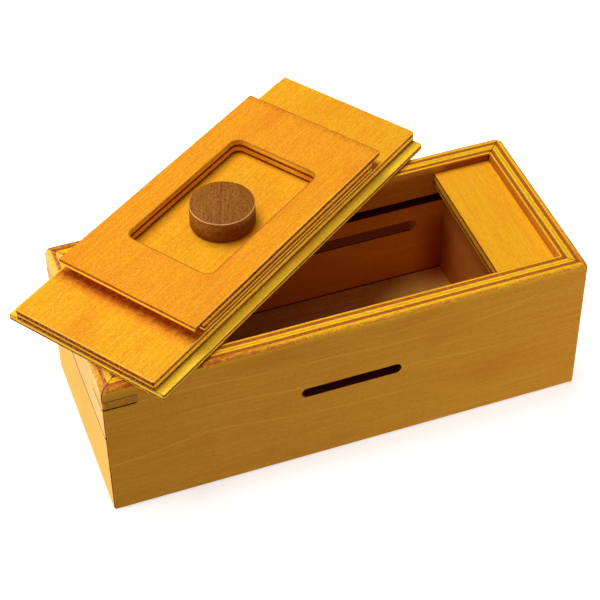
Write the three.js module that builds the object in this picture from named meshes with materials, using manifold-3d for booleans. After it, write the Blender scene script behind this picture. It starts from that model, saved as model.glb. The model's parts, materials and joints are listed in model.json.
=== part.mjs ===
// Wooden puzzle box with a slide-in lid, shown open with the lid lying across the rim.
// Millimetres, +Z up, +X along the box towards the end that opens, +Y to the back.
// The origin is the middle of the box's flat underside.
import * as THREE from 'three';
import { mergeVertices } from 'three/addons/utils/BufferGeometryUtils.js';
import Module from 'manifold-3d';

const wasm = await Module();
wasm.setup();

// ---- driving dimensions ----
const LENGTH = 190;            // outside, along X
const WIDTH = 81;              // outside, along Y
const HEIGHT = 64;             // outside, along Z
const WALL = 8.2;              // thickness of the 5-ply walls
const CORNER_RADIUS = 1.1;     // rounded upright corners
const FIT = 0.3;               // clearance where one piece slides on another
const GLUE = 0.15;             // half of the line left at a glued or mitred joint

const SEAM_Z = 39.5;           // the end walls are split at this height
const FLOOR_THICK = 8.5;

const LEDGE_DROP = 3.6;        // ledge top below the rim
const LEDGE_THICK = 6;
const LEDGE_WIDTH = 23.8;      // from the end rail's inner face
const LEDGE_HOUSING = 3;       // depth of the ledge's housing in the long walls

const LID_GROOVE_TOP = 49.7;
const LID_GROOVE_BOTTOM = 45.5;
const LID_GROOVE_DEPTH = 4.2;

const DIVIDER_FACE_X = 67.7;   // face towards the compartment
const DIVIDER_THICK = 6;
const DIVIDER_TOP = 45.2;

const RUNNER_THICK = 3;        // thin board behind each lower end panel
const RUNNER_HOUSING = 3;      // how far it enters the long walls
const RUNNER_BOTTOM = 2;
const PANEL_TRAVEL = 6;        // the lower end panels slide down this far
const STOP_PEG_RADIUS = 2.5;
const STOP_PEG_Z = 26;

const KEY_LEG = 13;            // triangular corner keys
const KEY_THICK = 3.6;
const KEY_TOP_DROP = 5.3;      // below the rim

const COIN_SLOT_LENGTH = 40;
const NOTE_SLOT_LENGTH = 112;
const SLOT_HEIGHT = 4.6;
const SLOT_Z = 35.6;

const LID_LENGTH = 168;
const LID_MIDDLE_WIDTH = 64;
const LID_MIDDLE_THICK = 4.3;
const LID_TONGUE = 4;          // the bottom board stands out this far on both long sides
const LID_BOTTOM_THICK = 2.5;
const LID_TOP_LENGTH = 119.2;
const LID_TOP_WIDTH = 63.4;
const LID_TOP_THICK = 6;
const LID_CORNER_RADIUS = 0.6;
const UNDERCUT_DEPTH = 5.5;    // under the top board's short ends
const UNDERCUT_HEIGHT = 4;
const WINDOW_LENGTH = 69;
const WINDOW_OFFSET = -0.5;    // along the lid, from its middle
const WINDOW_WIDTH = 39;
const WINDOW_RADIUS = 3.5;

const KNOB_RADIUS = 12.6;
const KNOB_HEIGHT = 9.2;
const KNOB_PLACE = [-2.9, -1.2];  // along and across the lid, from its middle
const PIN_RADIUS = 3;
const PIN_HEAD_RADIUS = 5.5;
const PIN_HEAD_THICK = 2.2;
const PIN_DEPTH = 4.5;         // how far the pin enters the knob

const LID_X = -26.9;           // middle of the lid as it lies on the rim
const LID_Y = 25.5;
const LID_YAW = 34.9;          // degrees

// ---- derived places ----
const HALF_LENGTH = LENGTH / 2;
const HALF_WIDTH = WIDTH / 2;
const INNER_X = HALF_LENGTH - WALL;
const INNER_Y = HALF_WIDTH - WALL;
const LEDGE_TOP = HEIGHT - LEDGE_DROP;
const LEDGE_BOTTOM = LEDGE_TOP - LEDGE_THICK;
const LEDGE_EDGE_X = INNER_X - LEDGE_WIDTH;
const RUNNER_OUT_X = INNER_X - GLUE;
const RUNNER_IN_X = RUNNER_OUT_X - RUNNER_THICK;
const KEY_TOP = HEIGHT - KEY_TOP_DROP;
const KEY_BOTTOM = KEY_TOP - KEY_THICK;
const FAR = 20;                // how far a cutter runs past the wood

// ---- solids ----
function solid(geometry) {
  const bare = geometry.index ? geometry.toNonIndexed() : geometry.clone();
  bare.deleteAttribute('normal');
  bare.deleteAttribute('uv');
  const merged = mergeVertices(bare, 1e-5);
  return new wasm.Manifold(new wasm.Mesh({
    numProp: 3,
    vertProperties: new Float32Array(merged.attributes.position.array),
    triVerts: new Uint32Array(merged.index.array),
  }));
}

function geometryOf(manifold) {
  const mesh = manifold.getMesh();
  const geometry = new THREE.BufferGeometry();
  geometry.setAttribute('position', new THREE.BufferAttribute(new Float32Array(mesh.vertProperties), 3));
  geometry.setIndex(new THREE.BufferAttribute(new Uint32Array(mesh.triVerts), 1));
  return geometry;
}

function block(x0, x1, y0, y1, z0, z1) {
  const geometry = new THREE.BoxGeometry(x1 - x0, y1 - y0, z1 - z0);
  geometry.translate((x0 + x1) / 2, (y0 + y1) / 2, (z0 + z1) / 2);
  return solid(geometry);
}

function slab(shape, z0, z1, curveSegments = 4) {
  const geometry = new THREE.ExtrudeGeometry(shape, { depth: z1 - z0, bevelEnabled: false, curveSegments });
  geometry.translate(0, 0, z0);
  return solid(geometry);
}

function roundedRectangle(length, width, radius) {
  const x = length / 2;
  const y = width / 2;
  const shape = new THREE.Shape();
  shape.moveTo(-x + radius, -y);
  shape.lineTo(x - radius, -y);
  shape.absarc(x - radius, -y + radius, radius, -Math.PI / 2, 0, false);
  shape.lineTo(x, y - radius);
  shape.absarc(x - radius, y - radius, radius, 0, Math.PI / 2, false);
  shape.lineTo(-x + radius, y);
  shape.absarc(-x + radius, y - radius, radius, Math.PI / 2, Math.PI, false);
  shape.lineTo(-x, -y + radius);
  shape.absarc(-x + radius, -y + radius, radius, Math.PI, Math.PI * 1.5, false);
  return shape;
}

function polygon(points) {
  return new THREE.Shape(points.map(([x, y]) => new THREE.Vector2(x, y)));
}

// A round bar along X or along Z.
function bar(radius, length, axis, place, segments = 24) {
  const geometry = new THREE.CylinderGeometry(radius, radius, length, segments);
  if (axis === 'x') geometry.rotateZ(Math.PI / 2);
  if (axis === 'z') geometry.rotateX(Math.PI / 2);
  geometry.translate(...place);
  return solid(geometry);
}

// ---- the box ----
const outerBody = () => slab(roundedRectangle(LENGTH, WIDTH, CORNER_RADIUS), 0, HEIGHT, 5);

// Wedges that divide the frame along its 45 degree mitres. side is +1 or -1.
function longWallWedge(side) {
  const reach = HALF_WIDTH + FAR;
  const out = HALF_LENGTH + FAR - GLUE;
  const inner = HALF_LENGTH - HALF_WIDTH - GLUE;
  const points = [[-inner, 0], [inner, 0], [out, side * reach], [-out, side * reach]];
  return slab(polygon(side > 0 ? points : points.reverse()), -FAR, HEIGHT + FAR);
}

function endWedge(side) {
  const reach = HALF_WIDTH + FAR - GLUE;
  const out = HALF_LENGTH + FAR;
  const inner = HALF_LENGTH - HALF_WIDTH + GLUE;
  const points = [[side * inner, 0], [side * out, -reach], [side * out, reach]];
  return slab(polygon(side > 0 ? points : points.reverse()), -FAR, HEIGHT + FAR);
}

function keyPrism(sideY, grow) {
  const x = -HALF_LENGTH;
  const y = sideY * HALF_WIDTH;
  const leg = KEY_LEG + grow * Math.SQRT2;
  const points = [[x, y], [x + leg, y], [x, y - sideY * leg]];
  const shape = polygon(sideY < 0 ? points : points.reverse());
  return slab(shape, KEY_BOTTOM - grow, KEY_TOP + grow);
}

// A slot with round ends through a long wall.
function slotCutter(length, sideY) {
  const half = (length - SLOT_HEIGHT) / 2;
  const radius = SLOT_HEIGHT / 2;
  const shape = new THREE.Shape();
  shape.moveTo(-half, -radius);
  shape.lineTo(half, -radius);
  shape.absarc(half, 0, radius, -Math.PI / 2, Math.PI / 2, false);
  shape.lineTo(-half, radius);
  shape.absarc(-half, 0, radius, Math.PI / 2, Math.PI * 1.5, false);
  const depth = WALL * 3;
  const geometry = new THREE.ExtrudeGeometry(shape, { depth, bevelEnabled: false, curveSegments: 10 });
  geometry.rotateX(Math.PI / 2);
  geometry.translate(0, sideY * (HALF_WIDTH - WALL / 2) + depth / 2, SLOT_Z);
  return solid(geometry);
}

// A block cut into one long wall, measured in from its inner face.
function wallCut(sideY, depth, x0, x1, z0, z1) {
  const near = sideY * (INNER_Y - FAR / 4);
  const deep = sideY * (INNER_Y + depth);
  return block(x0, x1, Math.min(near, deep), Math.max(near, deep), z0, z1);
}

function longWall(sideY, slotLength) {
  const inner = block(-INNER_X - FAR, INNER_X + FAR, -INNER_Y, INNER_Y, -FAR, HEIGHT + FAR);
  const out = HALF_LENGTH + FAR;
  let wall = outerBody().intersect(longWallWedge(sideY)).subtract(inner);
  wall = wall.subtract(wallCut(sideY, LID_GROOVE_DEPTH, -out, out, LID_GROOVE_BOTTOM, LID_GROOVE_TOP));
  for (const end of [-1, 1]) {
    const housing = [end * (LEDGE_EDGE_X - FIT), end * out].sort((a, b) => a - b);
    const heights = [LEDGE_BOTTOM - FIT, LEDGE_TOP + FIT];
    wall = wall.subtract(wallCut(sideY, LEDGE_HOUSING + FIT, ...housing, ...heights));
    const runner = [end * (RUNNER_IN_X - FIT), end * (RUNNER_OUT_X + FIT)].sort((a, b) => a - b);
    wall = wall.subtract(wallCut(sideY, RUNNER_HOUSING + FIT, ...runner, -FAR, SEAM_Z + GLUE));
  }
  return wall.subtract(slotCutter(slotLength, sideY)).subtract(keyPrism(sideY, GLUE));
}

function endBoard(sideX, z0, z1) {
  const inner = block(-INNER_X, INNER_X, -HALF_WIDTH - FAR, HALF_WIDTH + FAR, -FAR, HEIGHT + FAR);
  const band = block(-HALF_LENGTH - FAR, HALF_LENGTH + FAR, -HALF_WIDTH - FAR, HALF_WIDTH + FAR, z0, z1);
  return outerBody().intersect(endWedge(sideX)).subtract(inner).intersect(band);
}

function leftEndRail() {
  const rail = endBoard(-1, SEAM_Z + GLUE, HEIGHT);
  return rail.subtract(keyPrism(-1, GLUE)).subtract(keyPrism(1, GLUE));
}

function cornerKey(sideY) {
  return keyPrism(sideY, 0).intersect(outerBody());
}

function ledge(sideX) {
  const x = [sideX * LEDGE_EDGE_X, sideX * (INNER_X - GLUE)].sort((a, b) => a - b);
  const y = INNER_Y + LEDGE_HOUSING;
  return block(...x, -y, y, LEDGE_BOTTOM, LEDGE_TOP);
}

function divider(sideX) {
  const x = [sideX * DIVIDER_FACE_X, sideX * (DIVIDER_FACE_X + DIVIDER_THICK)].sort((a, b) => a - b);
  const y = INNER_Y - GLUE;
  const board = block(...x, -y, y, FLOOR_THICK + GLUE, DIVIDER_TOP);
  const place = [sideX * (DIVIDER_FACE_X + DIVIDER_THICK / 2), 0, STOP_PEG_Z];
  return board.subtract(bar(STOP_PEG_RADIUS + GLUE, DIVIDER_THICK * 2, 'x', place));
}

function floorBoard() {
  const x = RUNNER_IN_X - FIT;
  const y = INNER_Y - GLUE;
  return block(-x, x, -y, y, 0, FLOOR_THICK);
}

// Dowel from the divider into the runner's upright slot.
function stopPeg(sideX) {
  const start = DIVIDER_FACE_X + GLUE;
  const end = RUNNER_OUT_X - GLUE;
  return bar(STOP_PEG_RADIUS, end - start, 'x', [sideX * (start + end) / 2, 0, STOP_PEG_Z]);
}

// The thin board on the back of a lower end panel. Its slot rides on the stop peg.
function panelRunner(sideX) {
  const x = [sideX * RUNNER_IN_X, sideX * RUNNER_OUT_X].sort((a, b) => a - b);
  const y = INNER_Y + RUNNER_HOUSING;
  const top = SEAM_Z - FIT;
  const board = block(...x, -y, y, RUNNER_BOTTOM, top);
  const half = STOP_PEG_RADIUS + FIT;
  const slotTop = STOP_PEG_Z + half + PANEL_TRAVEL;
  const slot = block(x[0] - FAR, x[1] + FAR, -half, half, STOP_PEG_Z - half, slotTop);
  return board.subtract(slot);
}

// ---- the lid, in its own frame: z = 0 is its underside ----
const MIDDLE_Z = LID_BOTTOM_THICK + FIT;
const MIDDLE_TOP_Z = MIDDLE_Z + LID_MIDDLE_THICK;
const TOP_Z = MIDDLE_TOP_Z + FIT;
const pinHole = () => bar(PIN_RADIUS + FIT, FAR * 4, 'z', [...KNOB_PLACE, 0]);

function lidBottomBoard() {
  const outline = roundedRectangle(LID_LENGTH, LID_MIDDLE_WIDTH + 2 * LID_TONGUE, LID_CORNER_RADIUS);
  return slab(outline, 0, LID_BOTTOM_THICK).subtract(pinHole());
}

function lidMiddleBoard() {
  const outline = roundedRectangle(LID_LENGTH, LID_MIDDLE_WIDTH, LID_CORNER_RADIUS);
  return slab(outline, MIDDLE_Z, MIDDLE_TOP_Z).subtract(pinHole());
}

function lidTopBoard() {
  const outline = roundedRectangle(LID_TOP_LENGTH, LID_TOP_WIDTH, LID_CORNER_RADIUS);
  let board = slab(outline, TOP_Z, TOP_Z + LID_TOP_THICK);
  const window = roundedRectangle(WINDOW_LENGTH, WINDOW_WIDTH, WINDOW_RADIUS);
  const opening = slab(window, TOP_Z - FAR, TOP_Z + FAR, 6).translate([WINDOW_OFFSET, 0, 0]);
  board = board.subtract(opening);
  for (const end of [-1, 1]) {
    const x = [end * (LID_TOP_LENGTH / 2 - UNDERCUT_DEPTH), end * LID_TOP_LENGTH].sort((a, b) => a - b);
    board = board.subtract(block(...x, -WIDTH, WIDTH, TOP_Z - FAR, TOP_Z + UNDERCUT_HEIGHT));
  }
  return board;
}

function turned(points, segments) {
  return new THREE.LatheGeometry(points.map(([r, z]) => new THREE.Vector2(r, z)), segments)
    .rotateX(Math.PI / 2);
}

// Knob: a turned disc with eased edges and a blind hole for its pin.
function knob() {
  const ease = 0.6;
  const hole = PIN_RADIUS + GLUE;
  const holeTop = PIN_DEPTH + GLUE;
  const profile = [
    [0, holeTop], [hole, holeTop], [hole, 0], [KNOB_RADIUS - ease, 0], [KNOB_RADIUS, ease],
    [KNOB_RADIUS, KNOB_HEIGHT - ease], [KNOB_RADIUS - ease * 0.3, KNOB_HEIGHT - ease * 0.3],
    [KNOB_RADIUS - ease, KNOB_HEIGHT], [0, KNOB_HEIGHT],
  ];
  return turned(profile, 48);
}

// Pin: the head stays under the lid, the shank goes up into the knob.
function knobPin() {
  const shankTop = PIN_HEAD_THICK + FIT + TOP_Z + PIN_DEPTH;
  const profile = [
    [0, 0], [PIN_HEAD_RADIUS, 0], [PIN_HEAD_RADIUS, PIN_HEAD_THICK], [PIN_RADIUS, PIN_HEAD_THICK],
    [PIN_RADIUS, shankTop], [0, shankTop],
  ];
  return turned(profile, 32);
}

// ---- woods ----
function wood(colour, roughness) {
  return new THREE.MeshStandardMaterial({ color: new THREE.Color(...colour), roughness, metalness: 0 });
}
const WALNUT = wood([0.27, 0.12, 0.05], 0.45);
const AMBER = wood([0.9, 0.5, 0.06], 0.4);
const HONEY = wood([0.72, 0.45, 0.12], 0.45);
const PLAIN = wood([0.78, 0.6, 0.36], 0.6);

function piece(name, geometry, material) {
  const mesh = new THREE.Mesh(geometry, material);
  mesh.name = name;
  return mesh;
}

const SIDES = { left: -1, right: 1 };

function buildBox() {
  const box = new THREE.Group();
  const add = (name, manifold, material) => box.add(piece(name, geometryOf(manifold), material));
  add('front_wall', longWall(-1, COIN_SLOT_LENGTH), HONEY);
  add('back_wall', longWall(1, NOTE_SLOT_LENGTH), HONEY);
  add('floor_board', floorBoard(), PLAIN);
  add('left_end_rail', leftEndRail(), HONEY);
  add('right_end_rail', endBoard(1, SEAM_Z + GLUE, HEIGHT), HONEY);
  add('front_left_corner_key', cornerKey(-1), PLAIN);
  add('back_left_corner_key', cornerKey(1), PLAIN);
  for (const [side, sign] of Object.entries(SIDES)) {
    add(`${side}_end_panel`, endBoard(sign, 0, SEAM_Z - GLUE), HONEY);
    add(`${side}_panel_runner`, panelRunner(sign), PLAIN);
    add(`${side}_ledge`, ledge(sign), AMBER);
    add(`${side}_divider`, divider(sign), PLAIN);
    add(`${side}_stop_peg`, stopPeg(sign), PLAIN);
  }
  return box;
}

function buildLid() {
  const lid = new THREE.Group();
  lid.add(piece('lid_bottom_board', geometryOf(lidBottomBoard()), AMBER));
  lid.add(piece('lid_middle_board', geometryOf(lidMiddleBoard()), AMBER));
  lid.add(piece('lid_top_board', geometryOf(lidTopBoard()), AMBER));
  const knobMesh = piece('knob', knob(), WALNUT);
  knobMesh.position.set(...KNOB_PLACE, MIDDLE_TOP_Z + FIT);
  lid.add(knobMesh);
  const pinMesh = piece('knob_pin', knobPin(), WALNUT);
  pinMesh.position.set(...KNOB_PLACE, -PIN_HEAD_THICK - FIT);
  lid.add(pinMesh);
  lid.rotation.z = THREE.MathUtils.degToRad(LID_YAW);
  lid.position.set(LID_X, LID_Y, HEIGHT + FIT);
  return lid;
}

const puzzleBox = new THREE.Group();
puzzleBox.add(buildBox(), buildLid());
export default puzzleBox;
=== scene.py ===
# %% [markdown]
# # A plywood puzzle box with its lid lying across the rim
#
# The box is made of boards: four mitred 5-ply walls, a floor, two ledges and two dividers inside,
# and a lid of three thin boards glued in a stack, with a turned knob in a window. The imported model
# gives every board its exact size and place, and it is the frame that all the joints move. This
# lesson remodels each board with cut, eased and rounded edges, and gives it a wood that goes right
# through it, so that the plies show wherever a board is cut.

# %% Load the frame
import bpy
import json
import math
from mathutils import Matrix, Vector


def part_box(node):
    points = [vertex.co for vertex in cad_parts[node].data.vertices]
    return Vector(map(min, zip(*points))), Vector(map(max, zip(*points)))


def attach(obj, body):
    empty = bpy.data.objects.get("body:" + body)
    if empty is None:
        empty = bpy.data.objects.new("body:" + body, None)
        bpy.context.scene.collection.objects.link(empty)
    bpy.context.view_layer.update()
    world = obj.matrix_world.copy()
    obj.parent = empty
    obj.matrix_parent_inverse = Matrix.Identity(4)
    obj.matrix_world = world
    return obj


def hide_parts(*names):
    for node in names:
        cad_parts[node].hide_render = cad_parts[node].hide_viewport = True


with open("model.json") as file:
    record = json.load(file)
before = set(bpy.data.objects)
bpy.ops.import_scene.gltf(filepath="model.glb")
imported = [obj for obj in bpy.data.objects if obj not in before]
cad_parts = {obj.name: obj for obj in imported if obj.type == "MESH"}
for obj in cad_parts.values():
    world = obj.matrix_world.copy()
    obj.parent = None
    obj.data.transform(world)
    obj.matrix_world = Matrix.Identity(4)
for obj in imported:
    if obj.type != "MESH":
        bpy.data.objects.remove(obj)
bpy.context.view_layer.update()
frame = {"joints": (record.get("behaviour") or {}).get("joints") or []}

# %% [markdown]
# ## Sizes
#
# Places come from the frame's own boxes. Only what a box can't say, such as how deep a groove is
# inside a wall, is written down here, in millimetres, as a maker would write it on a drawing.

# %% Sizes that the frame gives, and the few that a drawing adds
MM = 0.001

back_low, back_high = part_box("back_wall")
panel_low, panel_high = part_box("right_end_panel")
rail_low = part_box("right_end_rail")[0]

OUT_X = panel_high.x                    # half the box's length
OUT_Y = back_high.y                     # half its width
TOP = back_high.z
IN_X = panel_low.x                      # inner faces of the four walls
IN_Y = back_low.y
SEAM = (panel_high.z + rail_low.z) / 2  # where the end walls are split
WALL = OUT_X - IN_X

GLUE_LINE = 0.15 * MM                   # half of the line at a glued joint
MITRE_LINE = 0.15 * MM                  # half of the line at a mitre
SLIDE_FIT = 0.3 * MM
CORNER_RADIUS = 1.1 * MM
RIM_EASE = 1.5 * MM                     # the rim's outer arris is sanded well round
FOOT_EASE = 0.7 * MM
TIP_CUT = 1.2 * MM                      # the rim's four tips are sanded off this far in
TIP_SLOPE = 0.75
WALL_ARRIS = 0.25 * MM                  # how far each kind of piece is eased at its sharp edges
BOARD_ARRIS = 0.22 * MM
LID_ARRIS = 0.28 * MM
KEY_ARRIS = 0.1 * MM
PEG_ARRIS = 0.4 * MM

GROOVE_TOP = 49.7 * MM                  # the groove that the lid's tongues run in
GROOVE_BOTTOM = 45.5 * MM
GROOVE_DEPTH = 4.2 * MM
HOUSING_DEPTH = 3.3 * MM                # ledges and runners enter the long walls this far
SLOT_HEIGHT = 4.6 * MM
SLOT_PLACE = 35.6 * MM
COIN_SLOT = 40 * MM
NOTE_SLOT = 112 * MM
KEY_LEG = 13 * MM
KEY_LINE = 0.25 * MM                    # the dark line round a corner key

LID_YAW = math.radians(34.9)
WINDOW_LENGTH = 69 * MM
WINDOW_WIDTH = 39 * MM
WINDOW_RADIUS = 3.5 * MM
WINDOW_OFFSET = -0.5 * MM
UNDERCUT_DEPTH = 5.5 * MM
UNDERCUT_HEIGHT = 4 * MM
CUTTER_PAST = 5 * MM                    # a cutter reaches this far past the wood


def span(first, second, side=1):
    """Two distances from the middle, as a low and a high place on one side of it."""
    return tuple(sorted((side * first, side * second)))


print(f"box {2000 * OUT_X:.1f} x {2000 * OUT_Y:.1f} x {1000 * TOP:.1f} mm, walls {1000 * WALL:.1f} mm")

# %% [markdown]
# ## A camera first
#
# The camera looks down at the box from the front left, from about two thirds of a metre away, through
# a long lens. It turns in three steps: level and facing the back, tilted down and swung round, and
# then rolled a little, as a camera held by hand is.

# %% Camera
CAMERA_PLACE = (-0.1730, -0.4749, 0.5317)
CAMERA_SWING = math.radians(-19.38)     # round the vertical, from facing straight back
CAMERA_DOWN = math.radians(44.16)       # below the horizon
CAMERA_ROLL = math.radians(-0.757)
CAMERA_LENS = 109.26                    # on a 36 mm wide sensor

bpy.ops.object.camera_add(location=CAMERA_PLACE)
camera = bpy.context.object
camera.name = "camera"
camera.data.lens = CAMERA_LENS
camera.data.sensor_width = 36
camera.data.clip_start = 0.01
camera.data.clip_end = 50
turn = Matrix.Rotation(CAMERA_SWING, 3, "Z") @ Matrix.Rotation(math.pi / 2 - CAMERA_DOWN, 3, "X")
camera.rotation_euler = (turn @ Matrix.Rotation(CAMERA_ROLL, 3, "Z")).to_euler()
bpy.context.scene.camera = camera
print("camera right:", [round(x, 4) for x in camera.rotation_euler.to_matrix().col[0]])
print("camera looks:", [round(-x, 4) for x in camera.rotation_euler.to_matrix().col[2]])

# %% [markdown]
# ## Tools for cutting boards
#
# A board starts as a cube primitive, stretched to its size. Four tools shape it, as saw, chisel and
# sandpaper would: `saw` slices it with a plane and closes the cut, `carve` takes another block out
# of it, `round_corners` rounds some of its edges to a radius, and `sand` eases the sharp ones. Each
# selects what it works on by place or direction, because an operator changes all that is selected.

# %% Starting a board
def pick(piece):
    """Only this piece is selected and active."""
    bpy.ops.object.select_all(action="DESELECT")
    piece.select_set(True)
    bpy.context.view_layer.objects.active = piece


def block(name, low, high):
    """A block between two corners, with its object at the origin."""
    low, high = Vector(low), Vector(high)
    bpy.ops.object.select_all(action="DESELECT")
    bpy.ops.mesh.primitive_cube_add(size=1, location=(low + high) / 2)
    piece = bpy.context.object
    piece.name = name
    piece.data.name = name
    piece.scale = high - low
    bpy.ops.object.transform_apply(location=True, rotation=True, scale=True)
    return piece


# %% Choosing edges, by a test on their two ends or by how sharp they are
SHARP = math.radians(30)
SMOOTH = math.radians(35)


def choose_edges(piece, wanted):
    """Leaves edit mode on, with the edges selected whose ends a and b pass the test."""
    pick(piece)
    bpy.ops.object.mode_set(mode="EDIT")
    bpy.ops.mesh.select_mode(type="EDGE")
    bpy.ops.mesh.select_all(action="DESELECT")
    bpy.ops.object.mode_set(mode="OBJECT")
    points = [vertex.co for vertex in piece.data.vertices]
    for edge in piece.data.edges:
        edge.select = wanted(points[edge.vertices[0]], points[edge.vertices[1]])
    bpy.ops.object.mode_set(mode="EDIT")


def choose_sharp_edges(piece, keep=lambda a, b: False):
    """Leaves edit mode on, with the sharp edges selected, apart from those that keep() names."""
    pick(piece)
    bpy.ops.object.mode_set(mode="EDIT")
    bpy.ops.mesh.select_mode(type="EDGE")
    bpy.ops.mesh.select_all(action="DESELECT")
    bpy.ops.mesh.edges_select_sharp(sharpness=SHARP)
    bpy.ops.object.mode_set(mode="OBJECT")
    points = [vertex.co for vertex in piece.data.vertices]
    for edge in piece.data.edges:
        if edge.select and keep(points[edge.vertices[0]], points[edge.vertices[1]]):
            edge.select = False
    bpy.ops.object.mode_set(mode="EDIT")


# %% Saw: slice with a plane and close the cut
def saw(piece, point, away):
    """Cuts the piece at a plane and drops the part on the side that away points to."""
    pick(piece)
    bpy.ops.object.mode_set(mode="EDIT")
    bpy.ops.mesh.select_all(action="SELECT")
    bpy.ops.mesh.bisect(plane_co=point, plane_no=away, use_fill=True, clear_outer=True,
                        threshold=0.0005 * MM)
    bpy.ops.object.mode_set(mode="OBJECT")


# %% Carve: take one block out of another
def apply_modifier(piece, kind, **settings):
    """Adds a modifier, sets it and applies it."""
    pick(piece)
    modifier = piece.modifiers.new(kind.lower(), kind)
    for setting, value in settings.items():
        setattr(modifier, setting, value)
    bpy.ops.object.modifier_apply(modifier=modifier.name)


def carve(piece, cutter, operation="DIFFERENCE"):
    """Takes the cutter's shape out of the piece, or trims the piece to it with INTERSECT, and
    removes the cutter."""
    apply_modifier(piece, "BOOLEAN", operation=operation, solver="EXACT", object=cutter)
    bpy.data.objects.remove(cutter)


# %% Round and sand
def round_corners(piece, radius, segments, wanted):
    """Rounds the edges that pass the test to a radius."""
    choose_edges(piece, wanted)
    bpy.ops.mesh.bevel(offset=radius, segments=segments, affect="EDGES")
    bpy.ops.object.mode_set(mode="OBJECT")


def smooth_arrises(piece):
    """Smooth shading on the eased edges, with each broad face kept flat right up to its edge."""
    pick(piece)
    bpy.ops.object.shade_smooth_by_angle(angle=SMOOTH)
    apply_modifier(piece, "WEIGHTED_NORMAL", mode="FACE_AREA", weight=100, keep_sharp=True)


def sand(piece, width, keep=lambda a, b: False):
    """Eases every sharp edge, apart from those that keep() names."""
    choose_sharp_edges(piece, keep)
    bpy.ops.mesh.bevel(offset=width, segments=2, affect="EDGES", clamp_overlap=True)
    bpy.ops.object.mode_set(mode="OBJECT")
    smooth_arrises(piece)


# %% [markdown]
# A finished piece takes the place of one node of the frame. It has to ride on the same body as that
# node, so that a joint moves it, and its finish is named, so that it can be changed for another.

# %% Install a finished piece
def install(piece, node, body, wood):
    """The piece moves with a body, replaces a node of the frame, and gets its finish and wood."""
    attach(piece, body)
    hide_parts(node)
    piece.data.materials.append(wood)
    print(piece.name, len(piece.data.polygons), "faces")


# %% [markdown]
# ## Writing shader maths as Python
#
# A wood is a lot of arithmetic on coordinates: stretch, add noise, take a threshold. `Signal` wraps
# one socket of a material and gives it +, -, *, / and a few more, so a formula in Python adds its
# Math nodes. Everything else, such as a noise, a ramp or a colour mix, comes from one method.

# %% A socket that can be used in a formula
class Signal:
    """One output socket of a material's node tree."""

    def __init__(self, tree, socket):
        self.tree = tree
        self.socket = socket

    def node(self, kind, settings=None, inputs=None, output=0):
        """Adds a node: its settings first, then its sockets, as numbers or as links."""
        made = self.tree.nodes.new(kind)
        for name, value in (settings or {}).items():
            setattr(made, name, value)
        for name, value in (inputs or {}).items():
            if isinstance(value, Signal):
                self.tree.links.new(value.socket, made.inputs[name])
            else:
                made.inputs[name].default_value = value
        return Signal(self.tree, made.outputs[output])

    def math(self, operation, *values):
        inputs = dict(enumerate((self, *values)))
        return self.node("ShaderNodeMath", {"operation": operation}, inputs)

    def reflected(self, operation, other):
        """The same with the number first, as in 1 - mask."""
        return self.node("ShaderNodeMath", {"operation": operation}, {0: other, 1: self})

    def __add__(self, other):
        return self.math("ADD", other)

    def __sub__(self, other):
        return self.math("SUBTRACT", other)

    def __mul__(self, other):
        return self.math("MULTIPLY", other)

    def __truediv__(self, other):
        return self.math("DIVIDE", other)

    __radd__ = __add__
    __rmul__ = __mul__

    def __rsub__(self, other):
        return self.reflected("SUBTRACT", other)

    def __rtruediv__(self, other):
        return self.reflected("DIVIDE", other)

    def step(self, low, high):
        """0 below low, 1 above high, and a smooth rise between; high may be the smaller one."""
        rising = low < high
        return self.node("ShaderNodeMapRange", {"interpolation_type": "SMOOTHSTEP"}, {
            "Value": self, "From Min": min(low, high), "From Max": max(low, high),
            "To Min": 0.0 if rising else 1.0, "To Max": 1.0 if rising else 0.0})


# %% Colours, coordinates and noise
def srgb(red, green, blue):
    """A colour as a paint chart gives it, 0 to 255, as the linear numbers that a shader wants."""
    def linear(value):
        value = value / 255
        return value / 12.92 if value <= 0.04045 else ((value + 0.055) / 1.055) ** 2.4
    return linear(red), linear(green), linear(blue)


def start_material(name):
    """A new material: its tree, its shader and a Signal to build from."""
    material = bpy.data.materials.new(name)
    material.use_nodes = True
    tree = material.node_tree
    shader = tree.nodes["Principled BSDF"]
    places = tree.nodes.new("ShaderNodeTexCoord")
    return material, shader, Signal(tree, places.outputs["Object"])


def board_axes(places, centre, along, through):
    """Coordinates of a board in millimetres: along its grain, across it, and through its thickness,
    from its middle. along and through are directions, and they are at right angles."""
    along, through = Vector(along).normalized(), Vector(through).normalized()
    across = through.cross(along)
    turn = Matrix((along, across, through)).transposed().to_euler()
    mapped = places.node("ShaderNodeMapping", {"vector_type": "TEXTURE"}, {
        "Vector": places, "Location": centre, "Rotation": turn, "Scale": (MM, MM, MM)})
    split = mapped.node("ShaderNodeSeparateXYZ", None, {"Vector": mapped})
    outputs = split.socket.node.outputs
    return [Signal(split.tree, outputs[axis]) for axis in range(3)]


def noise(x, y, z, detail=2.0, roughness=0.5):
    """Noise at a point given by three signals or numbers, from 0 to 1 about 0.5."""
    signal = next(part for part in (x, y, z) if isinstance(part, Signal))
    point = signal.node("ShaderNodeCombineXYZ", None, {"X": x, "Y": y, "Z": z})
    return signal.node("ShaderNodeTexNoise", {"noise_dimensions": "3D"}, {
        "Vector": point, "Scale": 1.0, "Detail": detail, "Roughness": roughness})


def blend(factor, first, second):
    """Mixes two colours: all first at factor 0, all second at 1."""
    signal = next(part for part in (factor, first, second) if isinstance(part, Signal))
    made = signal.node("ShaderNodeMix", {"data_type": "RGBA"}, {0: factor}, output=2)
    for socket, value in zip((6, 7), (first, second)):
        if isinstance(value, Signal):
            made.tree.links.new(value.socket, made.socket.node.inputs[socket])
        else:
            made.socket.node.inputs[socket].default_value = (*value, 1.0)
    return made


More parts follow.
